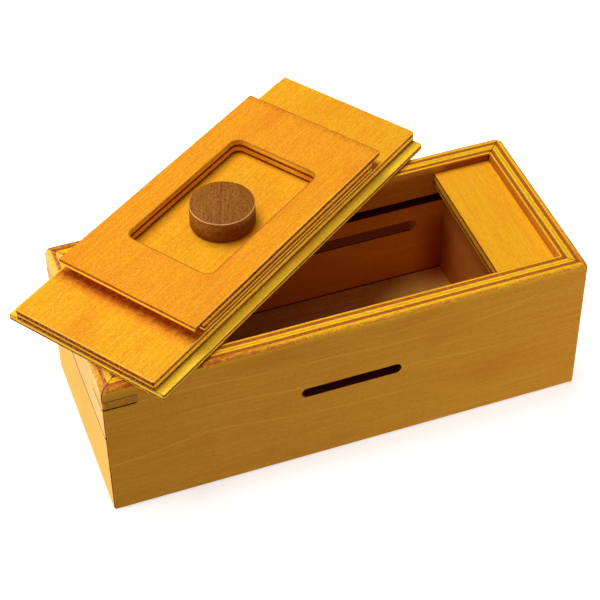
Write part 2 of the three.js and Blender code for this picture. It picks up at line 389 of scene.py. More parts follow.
def coats(colour, stain, *layers):
    """Lays coats over a colour, one after another: how much of each, and its name in the stain."""
    for amount, tone in layers:
        colour = blend(amount, colour, stain[tone])
    return colour


def join_shader(shader, colour, roughness, relief, strength, depth, shine):
    """Feeds a wood's colour, roughness and relief to its shader."""
    bump = relief.node("ShaderNodeBump", None,
                       {"Strength": strength, "Distance": depth, "Height": relief})
    for signal, name in ((colour, "Base Color"), (roughness, "Roughness"), (bump, "Normal")):
        signal.tree.links.new(signal.socket, shader.inputs[name])
    shader.inputs["Specular IOR Level"].default_value = shine


# %% [markdown]
# ## Plywood as a solid
#
# Plywood is thin sheets glued with their grain crossed. Painting stripes on the edges would need a
# map for each edge. Here the wood is a solid instead: a formula of the place inside the board. The
# depth through the board picks the ply. A ply that runs with the face veneer is pale where it is cut
# along its grain, and a crossed ply is cut across its grain, takes up more stain and goes dark. So a
# face shows one veneer, and a rim, a slot or a groove shows stripes, with nothing more to do.

# %% Stains
# A dark tone for the lines at joints and along the floor's glue line, and for painted shade inside the
# groove and the front wall's slot.
DARK_LINE_AND_SHADE = srgb(104, 34, 26)
AMBER = {
    "pale": srgb(255, 180, 24), "deep": srgb(242, 148, 16), "warm": srgb(234, 112, 16),
    "edge_pale": srgb(250, 190, 50), "edge_dark": srgb(104, 40, 12), "line": srgb(255, 206, 96),
    "worn": srgb(255, 204, 92), "red": srgb(180, 66, 22),
}
GOLD = dict(AMBER, pale=srgb(255, 192, 22), deep=srgb(246, 162, 18), warm=srgb(238, 134, 18))
# A brighter copy of AMBER for the lid's bottom board: painted light on its tongues, which lie in the
# shade of the boards above.
TONGUE_LIT = dict(AMBER, pale=srgb(255, 232, 54), deep=srgb(255, 208, 44), warm=srgb(236, 162, 34))
HONEY = {
    "pale": srgb(238, 168, 52), "deep": srgb(226, 150, 42), "warm": srgb(216, 128, 34),
    "edge_pale": srgb(255, 208, 26), "edge_dark": srgb(176, 80, 22), "line": srgb(255, 204, 72),
    "worn": srgb(255, 206, 70),
}
# The two stains below are paler copies of HONEY for the left end's panel and rail: painted light, for
# the bright left lamp on that end.
STRAW_LIT = dict(HONEY, pale=srgb(255, 206, 108), deep=srgb(252, 192, 88), warm=srgb(246, 180, 84),
             line=srgb(255, 220, 140))
PEACH_LIT = dict(STRAW_LIT, pale=srgb(255, 214, 140), deep=srgb(252, 200, 116), warm=srgb(248, 188, 112))
PLAIN = {
    "pale": srgb(216, 142, 58), "deep": srgb(192, 116, 42), "warm": srgb(172, 84, 32),
    "edge_pale": srgb(226, 160, 60), "edge_dark": srgb(90, 36, 14), "line": srgb(232, 176, 90),
    "worn": srgb(226, 170, 80),
}
# A lighter copy of PLAIN for the box's floor board: painted light against the shade that the walls
# cast on it.
FLOOR_BOARD_LIT = dict(PLAIN, pale=srgb(238, 182, 90), deep=srgb(218, 154, 66), warm=srgb(196, 122, 50))


# %% Bands of crossed plies
CRISP = (0.08 * MM,) * 3                # a patch of another tone that ends sharply
PLY_BLUR = 0.012                        # how softly a ply ends, as a share of the thickness


def band(depth, start, end):
    """1 inside a ply and 0 outside it."""
    return depth.step(start - PLY_BLUR, start + PLY_BLUR) * depth.step(end + PLY_BLUR, end - PLY_BLUR)


def bands(depth, plies):
    """1 inside any ply of a list."""
    return sum((band(depth, *ply) for ply in plies[1:]), band(depth, *plies[0]))


def fibres(along, across_1, across_2, seed):
    """Fine streaks and, in them, short dark pores: two signals from 0 to 1."""
    long_streaks = noise(along * 0.035 + seed, across_1 * 1.3, across_2 * 1.3, 3.0, 0.6)
    short_streaks = noise(along * 0.16 + seed, across_1 * 4.0, across_2 * 4.0, 2.0, 0.5)
    pores = noise(along * 0.42 + seed, across_1 * 3.6, across_2 * 3.6, 1.0, 0.5).step(0.60, 0.72)
    return long_streaks * 0.55 + short_streaks * 0.45, pores


def growth_lines(u, v, seed, spacing, wander):
    """Thin pale lines where the knife that peeled the veneer crossed a growth ring."""
    rings = v / spacing + noise(u * 0.007 + seed, v * 0.02, seed * 1.7, 1.5, 0.4) * wander
    place = rings.math("FRACT")
    line = place.step(0.93, 0.97) * place.step(1.0, 0.98)
    patches = noise(u * 0.02, v * 0.05 + seed, 3.3, 1.0).step(0.42, 0.56)
    return line * patches


def within(places, low, high, soft):
    """1 inside an upright box between two corners in metres. It fades out over soft, which has a
    length for each axis."""
    total = None
    for axis in range(3):
        place = places.node("ShaderNodeSeparateXYZ", None, {"Vector": places}, output=axis)
        side = place.step(low[axis] - soft[axis], low[axis])
        side = side * place.step(high[axis] + soft[axis], high[axis])
        total = side if total is None else total * side
    return total


# %% [markdown]
# A stain lies over the wood in coats, and each coat shows only where the wood took it up: streaks,
# pores, specks and wider clouds. So the maths first gives a few signals from 0 to 1 for a place in
# the board, and then every coat of colour is laid with one of them as its strength.

# %% What a board's colours are worked out from
class Board:
    """Signals for a place in a board: millimetres along its grain (u), across it (v) and through it
    (w), its depth from the shown face, 0 to 1, and the streaks, pores and specks of its wood."""

    def __init__(self, places, centre, along, through, thickness, size, seed):
        self.seed = seed
        self.half_length, self.half_width = (side / MM / 2 for side in size)
        self.u, self.v, self.w = board_axes(places, centre, along, through)
        wave = noise(self.u * 0.05, self.v * 0.05, seed, 2.0) - 0.5
        self.depth = self.w / (thickness / MM) + 0.5 + wave * 0.03
        self.streaks, self.pores = fibres(self.u, self.v, self.w, seed)
        self.speckle = noise(self.u * 1.7, self.v * 1.7, self.w * 1.7 + seed, 2.0, 0.6)
        self.mottle = noise(self.u * 0.55, self.v * 0.75, self.w * 0.75 + seed, 3.0, 0.6)
        self.upper = self.depth.step(0.12, 0.05)
        self.skin = self.depth.step(0.1, 0.05)

    def window_gap(self, half_u, half_v, radius, place):
        """Distance in millimetres from the edge of a window with round corners, out over the face."""
        out_u = ((self.u - place).math("ABSOLUTE") - (half_u - radius)).math("MAXIMUM", 0.0)
        out_v = (self.v.math("ABSOLUTE") - (half_v - radius)).math("MAXIMUM", 0.0)
        return (out_u * out_u + out_v * out_v).math("SQRT") - radius


# %% The face of a veneer, and plies that a saw has opened
def veneer(wood, stain, flecks, lines, spacing, wander):
    """The shown face; the back of the last ply is a little darker."""
    clouds = noise(wood.u * 0.02 + wood.seed, wood.v * 0.045, wood.seed, 3.0, 0.55)
    growth = growth_lines(wood.u, wood.v, wood.seed, spacing, wander)
    colour = blend(wood.streaks.step(0.34, 0.66), stain["deep"], stain["pale"])
    return coats(colour, stain,
                 (clouds.step(0.48, 0.72) * 0.5, "warm"),
                 (wood.mottle.step(0.48, 0.7) * 0.35, "warm"),
                 (wood.speckle.step(0.47, 0.62) * flecks, "warm"),
                 (wood.speckle.step(0.46, 0.32) * flecks, "line"),
                 (wood.pores * 0.25, "warm"),
                 (growth * lines, "line"),
                 (wood.depth.step(0.96, 0.985) * 0.3, "edge_dark"))


def cut_along_grain(wood, stain):
    """A ply that was sawn along its grain: pale, with a few warm specks and dark pores."""
    colour = blend(wood.streaks.step(0.45, 0.7) * 0.7, stain["edge_pale"], stain["deep"])
    return coats(colour, stain, (wood.speckle.step(0.5, 0.7) * 0.35, "warm"),
                 (wood.pores * 0.6, "edge_dark"))


def cut_across_grain(wood, stain):
    """A ply that was sawn across its grain: its open ends drank the stain and went dark."""
    colour = blend(wood.speckle.step(0.36, 0.70) * 0.7, stain["edge_dark"], stain["warm"])
    return coats(colour, stain, (wood.mottle.step(0.52, 0.36) * 0.7, "edge_dark"))


# %% [markdown]
# Edges tell how a box was made and used. A rim gets its stain from a rag that is dragged over its
# outer arris, painted shadow darkens the board under a lip, and the front arrises of a lid are pale
# from rubbed wear and a painted highlight. Each of these is a small function that a board can ask for.

# %% Wear, stain, painted highlight and painted shadow on a board's edges
RIM_STAIN = 0.12                        # how deep the rim's outer arris is darkened, as a share


def stained_rim(wood, stain, places, inside, colour):
    """A rim with thin warm lines in its pale plies, a dark outer arris that gets heavier over one
    half of the board, and a paler mottled band on the outer face just under it."""
    thin = band(wood.depth, 0.565, 0.605) + band(wood.depth, 0.19, 0.215) * 0.7
    arris = wood.depth.step(RIM_STAIN * 1.35, RIM_STAIN) * wood.depth.step(0.004, 0.03)
    heavy = wood.u.step(0.0, -60.0) * (0.35 + wood.mottle.step(0.36, 0.56) * 0.55)
    outer = wood.depth.step(0.32, 0.24) * wood.depth.step(0.01, 0.04)
    height = places.node("ShaderNodeSeparateXYZ", None, {"Vector": places}, output=2) / MM
    pale_band = height.step(TOP / MM - 3.4, TOP / MM - 1.0) * wood.depth.step(0.03, 0.01)
    return coats(colour, stain,
                 (thin * 0.75 * inside, "warm"),
                 (arris * (0.45 + wood.mottle.step(0.36, 0.56) * 0.4), "warm"),
                 (arris * wood.speckle.step(0.48, 0.66) * 0.6, "edge_dark"),
                 (outer * heavy, "edge_dark"),
                 (pale_band * wood.mottle.step(0.3, 0.65) * 0.4, "edge_pale"))


def painted_lip_shadow(wood, start, end):
    """Painted shadow under a lip, between two distances on the near side of the board's middle."""
    shadow_band = wood.u.step(-start + 1.6, -start) * wood.u.step(-end - 6.0, -end + 1.0)
    return shadow_band * wood.upper * (0.5 + wood.mottle.step(0.35, 0.6) * 0.35)


def window_stain(wood, gap):
    """How dark the line round a window is, and how red the far end of its board."""
    line = gap.step(0.75, 0.35) * gap.step(-0.4, 0.0) * wood.skin
    far_end = wood.u.step(wood.half_length - 3.5, wood.half_length - 0.8) * wood.skin
    return line * 0.5, far_end * wood.mottle.step(0.3, 0.6) * 0.4


def rubbed_and_lit_arrises(wood, end, side):
    """Pale arrises from rubbed wear and a painted highlight, at one end and one long side; each is -1
    or 1, or 0 for none.
    """
    near_end = (wood.u * end).step(wood.half_length - 0.5, wood.half_length - 0.3)
    near_side = (wood.v * side).step(wood.half_width - 0.5, wood.half_width - 0.3)
    return near_end.math("MAXIMUM", near_side) * wood.upper * wood.mottle.step(0.3, 0.5) * 0.55


# %% The plywood itself
def plywood(name, stain, centre, along, through, thickness, crossed, seed, size=(0, 0), ends=None,
            rim=False, lines=0.5, spacing=7.0, wander=7.0, roughness=0.55, flecks=0.3,
            darkened=(), lip_shadow_span=None, worn_and_lit_sides=None, opening=None):
    """Plywood round a centre point. through points from the shown face inwards; crossed lists the
    start and end of each dark ply as shares of the thickness, and ends the same for the two end
    cuts; size is the shown face's length and width; rim is for a wall, with its stained rim;
    darkened is a list of boxes, each with its tone and how softly it ends; the lip's span tells
    where, along the board, painted shadow lies under a lip; the sides tell which end and side have
    pale arrises from rubbed wear and a painted highlight, and opening is a window's half length,
    half width, corner radius, place and plies."""
    material, shader, places = start_material(name)
    wood = Board(places, centre, along, through, thickness, size, seed)
    crossed_ply = bands(wood.depth, crossed)
    if ends:
        end_cut = wood.u.math("ABSOLUTE").step(wood.half_length - 0.6, wood.half_length - 0.35)
        crossed_ply = crossed_ply * (1.0 - end_cut) + bands(wood.depth, ends) * end_cut
    if opening:
        gap = wood.window_gap(*opening[:4])
        in_window = gap.step(0.9, 0.5)
        crossed_ply = crossed_ply * (1.0 - in_window) + bands(wood.depth, opening[4]) * in_window

    inside = wood.depth.step(0.015, 0.04) * wood.depth.step(0.985, 0.96)
    face = veneer(wood, stain, flecks, lines, spacing, wander)
    colour = blend(inside, face, cut_along_grain(wood, stain))
    colour = blend(crossed_ply, colour, cut_across_grain(wood, stain))
    if rim:
        colour = stained_rim(wood, stain, places, inside, colour)
    # Painted shadow under the top board's lip, in a red tone.
    if lip_shadow_span:
        colour = coats(colour, stain, (painted_lip_shadow(wood, *lip_shadow_span), "red"))
    if opening:
        line, far_end = window_stain(wood, gap)
        colour = coats(colour, stain, (line, "edge_dark"), (far_end, "red"))
    # Pale arrises towards the front: rubbed wear and a painted highlight.
    if worn_and_lit_sides:
        colour = coats(colour, stain, (rubbed_and_lit_arrises(wood, *worn_and_lit_sides), "worn"))
    for low, high, tone, softness in darkened:
        colour = blend(within(places, low, high, softness), colour, tone)

    rough = roughness + (wood.streaks - 0.5) * 0.18 + crossed_ply * 0.16
    relief = wood.streaks * 0.5 - wood.pores * 0.5 - crossed_ply * 0.6 + wood.speckle * 0.25
    join_shader(shader, colour, rough, relief, 0.5, 0.12 * MM, 0.1)
    return material


# %% [markdown]
# ## Solid wood
#
# The knob, its pin, the pegs and the corner keys are cut from solid wood. It has growth rings all the
# way through and no plies, so it gets a formula of its own, with the same streaks and pores. The
# knob is darker, with a painted highlight on the front of its arris, painted shade on the back of it,
# and painted shade on its side towards the right.

# %% Turned dark wood and dowels
def knob_highlight_and_shade(wood_axes, mottle, radius, height):
    """How strong the painted highlight on the front of a turned top's arris is, how strong the painted
    shade on the back of it, and how much painted shade darkens the side under it towards the right."""
    u, v, w = wood_axes
    out = (u * u + v * v).math("SQRT").step(radius / MM - 0.4, radius / MM - 0.25)
    arris = out * w.step(height / MM - 0.4, height / MM - 0.25)
    worn = arris * (u.step(9.0, -6.0) * (0.3 + mottle.step(0.35, 0.6) * 0.4))
    side = w.step(height / MM - 0.3, height / MM - 0.8)
    return worn, arris * u.step(0.0, 8.0) * 0.6, side * v.step(9.0, -2.0) * 0.5


def solid_wood(name, tones, centre, along, through, seed, rings=0.5, lit_arris_ring=None, lit_boxes=()):
    """Solid wood with its growth rings: the knob, its pin, the pegs and the corner keys. tones has
    pale, deep, dark and a pale arris tone; the ring gives the radius and height of a turned arris with
    a painted highlight and painted shade, and the list of boxes gets a paler tone of its own, which is
    painted light."""
    material, shader, places = start_material(name)
    u, v, w = board_axes(places, centre, along, through)
    streaks, pores = fibres(u, v, w, seed)
    ring_noise = noise(u * 0.012 + seed, v * 0.12, w * 0.12, 2.0, 0.5) * 6.0
    ring_tone = ring_noise.math("FRACT").step(0.25, 0.85)
    clouds = noise(u * 0.09, v * 0.16 + seed, w * 0.16, 2.0, 0.5)
    mottle = noise(u * 0.9 + seed, v * 1.1, w * 1.1, 3.0, 0.6)
    speckle = noise(u * 2.2, v * 2.2, w * 2.2 + seed, 2.0, 0.6)
    colour = blend(streaks.step(0.34, 0.66), tones["deep"], tones["pale"])
    colour = coats(colour, tones,
                   (ring_tone * rings, "dark"),
                   (clouds.step(0.42, 0.66) * 0.55, "deep"),
                   (mottle.step(0.44, 0.64) * 0.6, "dark"),
                   (speckle.step(0.50, 0.30) * 0.5, "pale"),
                   (pores * 0.5, "dark"))
    # A painted highlight on the front of the arris, and painted shade on the back of it and on the
    # side towards the right.
    if lit_arris_ring:
        worn, far_arris_shade, side = knob_highlight_and_shade((u, v, w), mottle, *lit_arris_ring)
        colour = coats(colour, tones, (worn, "worn"), (far_arris_shade, "dark"), (side, "dark"))
    # Each box gets a paler tone of its own: painted light.
    for low, high, tone in lit_boxes:
        colour = blend(within(places, low, high, CRISP) * (0.6 + streaks * 0.4), colour, tone)
    rough = 0.5 + (streaks - 0.5) * 0.2 + pores * 0.1
    join_shader(shader, colour, rough, streaks * 0.5 - pores * 0.6, 0.4, 0.1 * MM, 0.12)
    return material


# %% [markdown]
# ## The four walls
#
# Every wall is sawn from the same block, the whole box with its upright corners already rounded. A
# 45 degree cut at each corner and a cut along the inner face leave one wall, so the curve of a
# corner runs on unbroken from one board to the next, as it does when a glued frame is rounded after.

# %% One wall from the rounded block
WALL_PLIES = ((0.28, 0.46), (0.72, 0.90))
WALL_SIDES = {"front": (0, -1), "back": (0, 1), "left": (-1, 0), "right": (1, 0)}
HAIR = 0.01 * MM                        # heights closer than this are the same


def rounded_block(name):
    """The whole box as one block with rounded upright corners and a sanded rim."""
    piece = block(name, (-OUT_X, -OUT_Y, 0), (OUT_X, OUT_Y, TOP))
    round_corners(piece, CORNER_RADIUS, 6, lambda a, b: abs(a.z - b.z) > TOP / 2)
    for across, forward in ((1, 1), (1, -1), (-1, 1), (-1, -1)):
        tip = Vector((across * (OUT_X - TIP_CUT), forward * (OUT_Y - TIP_CUT), TOP))
        saw(piece, tip, Vector((across, forward, TIP_SLOPE)).normalized())
    round_corners(piece, RIM_EASE, 5, lambda a, b: min(a.z, b.z) > TOP - HAIR)
    round_corners(piece, FOOT_EASE, 3, lambda a, b: max(a.z, b.z) < HAIR)
    return piece


def saw_wall(name, side, low=0.0, high=None):
    """Saws one wall, or a part of it between two heights, out of the rounded block."""
    piece = rounded_block(name)
    across, forward = WALL_SIDES[side]
    outwards = Vector((across, forward, 0))
    sideways = Vector((-forward, across, 0))
    inner = IN_X if across else IN_Y
    saw(piece, outwards * inner, -outwards)
    for other in (1, -1):
        if across:
            corner = Vector((across * OUT_X, other * OUT_Y, 0))
        else:
            corner = Vector((other * OUT_X, forward * OUT_Y, 0))
        other_way = Vector((corner.x * abs(sideways.x), corner.y * abs(sideways.y), 0)).normalized()
        away = (other_way - outwards).normalized()
        saw(piece, corner - away * MITRE_LINE, away)
    if low > 0:
        saw(piece, (0, 0, low), (0, 0, -1))
    if high is not None:
        saw(piece, (0, 0, high), (0, 0, 1))
    return piece


def on_mitre(a, b):
    """True for an edge that lies in a 45 degree joint, which stays crisp."""
    def in_joint(point):
        return abs((OUT_X - abs(point.x)) - (OUT_Y - abs(point.y))) < 0.4 * MM
    return in_joint(a) and in_joint(b)


# %% [markdown]
# The long walls are cut into before they are glued up: a groove for the lid's tongue, housings for
# the ledges and runners, a slot right through with round ends, as a router leaves it, and a pocket
# for a corner key. Each cut is a block that is carved out, placed from the piece that goes into it.

# %% Grooves and slots
def side_cutter(forward, depth, x, z):
    """A block that enters a long wall's inner face by depth, over a span of x and one of z."""
    y = span(IN_Y - CUTTER_PAST, IN_Y + depth, forward)
    return block("cutter", *zip(x, y, z))


def slot_cutter(length, forward):
    """A cutter with round ends for a slot right through a long wall."""
    middle = forward * (OUT_Y + IN_Y) / 2
    cutter = block("cutter", (-length / 2, middle - WALL, SLOT_PLACE - SLOT_HEIGHT / 2),
                   (length / 2, middle + WALL, SLOT_PLACE + SLOT_HEIGHT / 2))
    round_corners(cutter, SLOT_HEIGHT / 2 * 0.999, 10, lambda a, b: abs(a.y - b.y) > WALL)
    return cutter


def key_box(forward):
    """The corner key at the front or the back left corner."""
    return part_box("front_left_corner_key" if forward < 0 else "back_left_corner_key")


def key_cutter(forward, line=0.0):
    """The triangular pocket for a corner key, at a left corner. It leaves a dark line round the key,
    twice as wide under it."""
    low, high = key_box(forward)
    x = span(OUT_X + CUTTER_PAST, OUT_X - KEY_LEG - 4 * MM, -1)
    y = span(OUT_Y + CUTTER_PAST, OUT_Y - KEY_LEG - 4 * MM, forward)
    cutter = block("cutter", (x[0], y[0], low.z - 2 * line), (x[1], y[1], high.z + line))
    corner = Vector((-OUT_X, forward * OUT_Y, 0))
    inwards = Vector((1, -forward, 0)).normalized()
    saw(cutter, corner + inwards * (KEY_LEG / math.sqrt(2) + line * 0.4), inwards)
    return cutter


# %% [markdown]
# A fast cutter scorches what it cuts, and that leaves dark lines round the keys and along the seams.
# Painted shade darkens the inside of the groove and of the slots, the compartment's corners and the
# wall above each ledge. All of these lie in places that the drawing gives, so each is a box with a
# tone of its own. A dark line and the shade in a groove or a slot end sharply, and the painted shade
# in the corners and above the ledges fades out over some millimetres.

# %% Dark joint lines, and painted shade in recesses and corners
# The tone below is painted shade inside the back wall's slot.
SLOT_SHADE = srgb(186, 90, 28)
SKIN = 0.15 * MM                        # a dark lining stops this far short of a face
LINING_REACH = 0.3 * MM                       # and goes this far into the wood
CORNER_FADE = 13 * MM
LEDGE_SHADE_FADE = 7 * MM


def patch(x, y, z, tone, softness=CRISP):
    """A box with a tone of its own, from its spans along the three axes."""
    return *zip(x, y, z), tone, softness


def burnt_key(forward):
    """A thin dark line round a corner key, a little wider under it."""
    low, high = key_box(forward)
    return patch(span(OUT_X + MM, OUT_X - KEY_LEG + 0.8 * MM, -1),
                 span(OUT_Y + MM, OUT_Y - KEY_LEG + 0.8 * MM, forward),
                 (low.z - 0.62 * MM, high.z + 0.32 * MM), DARK_LINE_AND_SHADE)


def painted_corner_shade(softness):
    """Painted shade in the compartment's upright corners."""
    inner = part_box("right_divider")[0].x - 1.5 * MM
    z = (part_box("floor_board")[1].z - 0.5 * MM, GROOVE_BOTTOM - 16 * MM)
    return [patch(span(inner, IN_X, across), span(IN_Y - 1.5 * MM, IN_Y + SKIN, forward), z,
                  HONEY["edge_dark"], softness)
            for across in (1, -1) for forward in (1, -1)]


def slot_lining_shade(forward, slot_length):
    """Painted shade in a slot: a dark lining, darker in the front wall than in the back one, and a
    dark line along its straight edges on the inside."""
    half, straight = slot_length / 2 + LINING_REACH, (slot_length - SLOT_HEIGHT) / 2
    z = (SLOT_PLACE - SLOT_HEIGHT / 2 - LINING_REACH, SLOT_PLACE + SLOT_HEIGHT / 2 + LINING_REACH)
    tone = DARK_LINE_AND_SHADE if forward < 0 else SLOT_SHADE
    return [patch((-half, half), span(IN_Y + SKIN, OUT_Y - SKIN, forward), z, tone),
            patch((-straight, straight), span(IN_Y - LINING_REACH, IN_Y + 0.35 * MM, forward), z, DARK_LINE_AND_SHADE)]


def inner_face_glue_and_shade(forward):
    """Painted shade in the groove for the lid's tongue, the glue line along the floor, and painted
    shade on the wall above the ledges."""
    whole = (-OUT_X, OUT_X)
    floor_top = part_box("floor_board")[1].z
    ledge_low, ledge_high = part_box("right_ledge")
    # Painted shade inside the groove.
    groove = patch(whole, span(IN_Y + SKIN, IN_Y + GROOVE_DEPTH + LINING_REACH, forward),
                   (GROOVE_BOTTOM - 0.2 * MM, GROOVE_TOP + 0.2 * MM), DARK_LINE_AND_SHADE)
    face = span(IN_Y - 0.5 * MM, IN_Y + 0.5 * MM, forward)
    glue = patch(whole, face, (floor_top - 0.2 * MM, floor_top + 0.3 * MM), DARK_LINE_AND_SHADE, (0.3 * MM,) * 3)
    # Painted shade on the inner wall above each ledge.
    above_ledge_shade = [patch(span(ledge_low.x + LEDGE_SHADE_FADE, IN_X, across), face,
                    (ledge_high.z, TOP - 0.9 * MM), HONEY["edge_dark"],
                    (LEDGE_SHADE_FADE, 0.3 * MM, 0.5 * MM)) for across in (1, -1)]
    return [groove, glue, *above_ledge_shade]


# %% Front and back walls
def long_wall(side, slot_length):
    """The front or the back wall, with every cut that is made into it."""
    forward = WALL_SIDES[side][1]
    piece = saw_wall(f"{side}_wall_board", side)
    past = OUT_X + CUTTER_PAST
    ledge_low, ledge_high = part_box("right_ledge")
    runner_low, runner_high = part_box("right_panel_runner")
    ledge_height = (ledge_low.z - SLIDE_FIT, ledge_high.z + SLIDE_FIT)
    carve(piece, side_cutter(forward, GROOVE_DEPTH, (-past, past), (GROOVE_BOTTOM, GROOVE_TOP)))
    for end in (1, -1):
        ledge_span = span(ledge_low.x - SLIDE_FIT, past, end)
        carve(piece, side_cutter(forward, HOUSING_DEPTH, ledge_span, ledge_height))
        runner_span = span(runner_low.x - SLIDE_FIT, runner_high.x + SLIDE_FIT, end)
        carve(piece, side_cutter(forward, HOUSING_DEPTH, runner_span,
                                 (-CUTTER_PAST, SEAM + GLUE_LINE)))
    carve(piece, slot_cutter(slot_length, forward))
    carve(piece, key_cutter(forward, KEY_LINE))
    sand(piece, WALL_ARRIS, on_mitre)
    # Painted shade in the compartment's corners.
    corners = painted_corner_shade((CORNER_FADE, 0.3 * MM, CORNER_FADE))
    install(piece, f"{side}_wall", "box", plywood(
        f"{side}_wall_plywood", HONEY, (0, forward * (OUT_Y + IN_Y) / 2, TOP / 2), (1, 0, 0),
        (0, -forward, 0), WALL, WALL_PLIES, 2.0 + forward, rim=True, lines=0.4, spacing=13.0,
        wander=3.5, darkened=[burnt_key(forward), *slot_lining_shade(forward, slot_length), *corners,
                              *inner_face_glue_and_shade(forward)]))


long_wall("front", COIN_SLOT)
long_wall("back", NOTE_SLOT)

# %% [markdown]
# The end walls are in two parts. The upper rail stays with the ledge behind it, and the lower panel
# slides down by itself, so the seam between them is a real gap with both of its edges eased.

# %% End rails and sliding panels
def burnt_seam(across):
    """A dark line along the seam, only as deep as the outer arrises."""
    return patch(span(OUT_X - 0.7 * MM, OUT_X, across), (-OUT_Y, OUT_Y),
                 (SEAM - 0.45 * MM, SEAM + 0.45 * MM), DARK_LINE_AND_SHADE)


def end_board(name, node, side, body, low, high, seed, stain, keyed=False):
    """An end wall's part between two heights; keyed is for one with corner keys."""
    across = WALL_SIDES[side][0]
    piece = saw_wall(name, side, low, high)
    stains = [burnt_seam(across)]
    if keyed:
        for forward in (-1, 1):
            carve(piece, key_cutter(forward, KEY_LINE))
            stains.append(burnt_key(forward))
    sand(piece, WALL_ARRIS, on_mitre)
    install(piece, node, body, plywood(
        f"{name}_plywood", stain, (across * (OUT_X + IN_X) / 2, 0, TOP / 2), (0, 1, 0),
        (-across, 0, 0), WALL, WALL_PLIES, seed, rim=True, spacing=8.0, wander=5.0,
        darkened=stains))


rail_floor = SEAM + GLUE_LINE
panel_top = SEAM - GLUE_LINE
# The left end's rail and panel get the paler stains, which are painted light.
end_board("left_rail_board", "left_end_rail", "left", "box", rail_floor, None, 7.0, PEACH_LIT, keyed=True)
end_board("right_rail_board", "right_end_rail", "right", "end_block", rail_floor, None, 9.0, HONEY)
end_board("left_panel_board", "left_end_panel", "left", "left_panel", 0, panel_top, 11.0, STRAW_LIT)
end_board("right_panel_board", "right_end_panel", "right", "right_panel", 0, panel_top, 13.0, HONEY)

# %% [markdown]
# ## Corner keys
#
# A key is a thin slip of hardwood glued into a slot across a mitre and trimmed flush. It starts as
# the same triangular block that cut its pocket, only smaller by the glue line, and a rounded block
# trims it flush with the corner.

# %% Corner keys
KEY_TONES = {"pale": srgb(226, 158, 52), "deep": srgb(214, 144, 44), "dark": srgb(188, 116, 34)}
# The keys get a paler tone where they show on the left end: painted light, as the left lamp lights
# that end.
LEFT_FACE_LIT = (-OUT_X - MM, -OUT_Y, 0), (-OUT_X + 0.3 * MM, OUT_Y, TOP), PEACH_LIT["deep"]
key_wood = solid_wood("key_wood", KEY_TONES, (-OUT_X, 0, TOP), (1, 1, 0), (0, 0, 1), 21.0,
                      lit_boxes=[LEFT_FACE_LIT])
for side in ("front", "back"):
    key = key_cutter(WALL_SIDES[side][1])
    key.name = f"{side}_key_slip"
    key.data.name = key.name
    carve(key, rounded_block("trim"), "INTERSECT")
    sand(key, KEY_ARRIS)
    install(key, f"{side}_left_corner_key", "box", key_wood)

# %% [markdown]
# ## Boards inside the box
#
# Floor, ledges, dividers and runners are plain boards, so they are made by one function: a block at
# the frame's own size, cut where another piece passes through it, with sanded edges.

# %% Ledges, dividers, floor and runners
THIN_PLIES = ((0.34, 0.66),)
LEDGE_PLIES = ((0.06, 0.22), (0.62, 0.86))
DRILL_LENGTH = 60 * MM                  # longer than any board is thick


def inner_board(name, node, body, stain, along, through, seed, cutters=(),
                plies=THIN_PLIES, darkened=()):
    """A plain board at the size of its node, with the cutters carved out of it."""
    low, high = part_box(node)
    piece = block(name, low, high)
    for cutter in cutters:
        carve(piece, cutter)
    sand(piece, BOARD_ARRIS)
    thickness = abs((high - low).dot(Vector(through)))
    install(piece, node, body, plywood(
        f"{name}_plywood", stain, (low + high) / 2, along, through, thickness, plies, seed,
        lines=0.0, darkened=darkened))


def peg_cylinder(peg, grow, length):
    """A level cylinder on a peg's axis, thicker than the peg by grow all round."""
    low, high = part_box(peg)
    bpy.ops.object.select_all(action="DESELECT")
    bpy.ops.mesh.primitive_cylinder_add(
        vertices=40, radius=(high.z - low.z) / 2 + grow, depth=length, location=(low + high) / 2,
        rotation=(0, math.pi / 2, 0))
    bpy.ops.object.transform_apply(location=True, rotation=True, scale=True)
    return bpy.context.object


def runner_slot(peg):
    """An upright slot for a peg, with room for the panel's travel above it."""
    low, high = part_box(peg)
    travel = next(j["range_m"][1] for j in frame["joints"] if j["name"] == "left_panel_drop")
    return block("cutter", (low.x - 20 * MM, low.y - SLIDE_FIT, low.z - SLIDE_FIT),
                 (high.x + 20 * MM, high.y + SLIDE_FIT, high.z + SLIDE_FIT + travel))


# The floor and the dividers get painted shade in the compartment's corners.
# The floor board's lighter stain is painted light.
inner_board("floor_ply", "floor_board", "box", FLOOR_BOARD_LIT, (1, 0, 0), (0, 0, -1), 31.0,
            plies=WALL_PLIES, darkened=painted_corner_shade((CORNER_FADE, CORNER_FADE, MM)))
for side, sign, ledge_body in (("left", -1, "box"), ("right", 1, "end_block")):
    peg_name = f"{side}_stop_peg"
    inner_board(f"{side}_ledge_ply", f"{side}_ledge", ledge_body, GOLD,
                (0, 1, 0), (0, 0, -1), 33.0 + sign, plies=LEDGE_PLIES)
    inner_board(f"{side}_divider_ply", f"{side}_divider", "box", PLAIN,
                (0, 1, 0), (sign, 0, 0), 37.0 + sign,
                cutters=[peg_cylinder(peg_name, GLUE_LINE, DRILL_LENGTH)],
                darkened=painted_corner_shade((MM, CORNER_FADE, CORNER_FADE)))
    inner_board(f"{side}_runner_ply", f"{side}_panel_runner", f"{side}_panel",
                PLAIN, (0, 1, 0), (sign, 0, 0), 41.0 + sign, cutters=[runner_slot(peg_name)])

# %% [markdown]
# ## Stop pegs
#
# Each peg is a short dowel. A cylinder primitive has both its ends bevelled, because a dowel is
# chamfered so that it enters its hole.

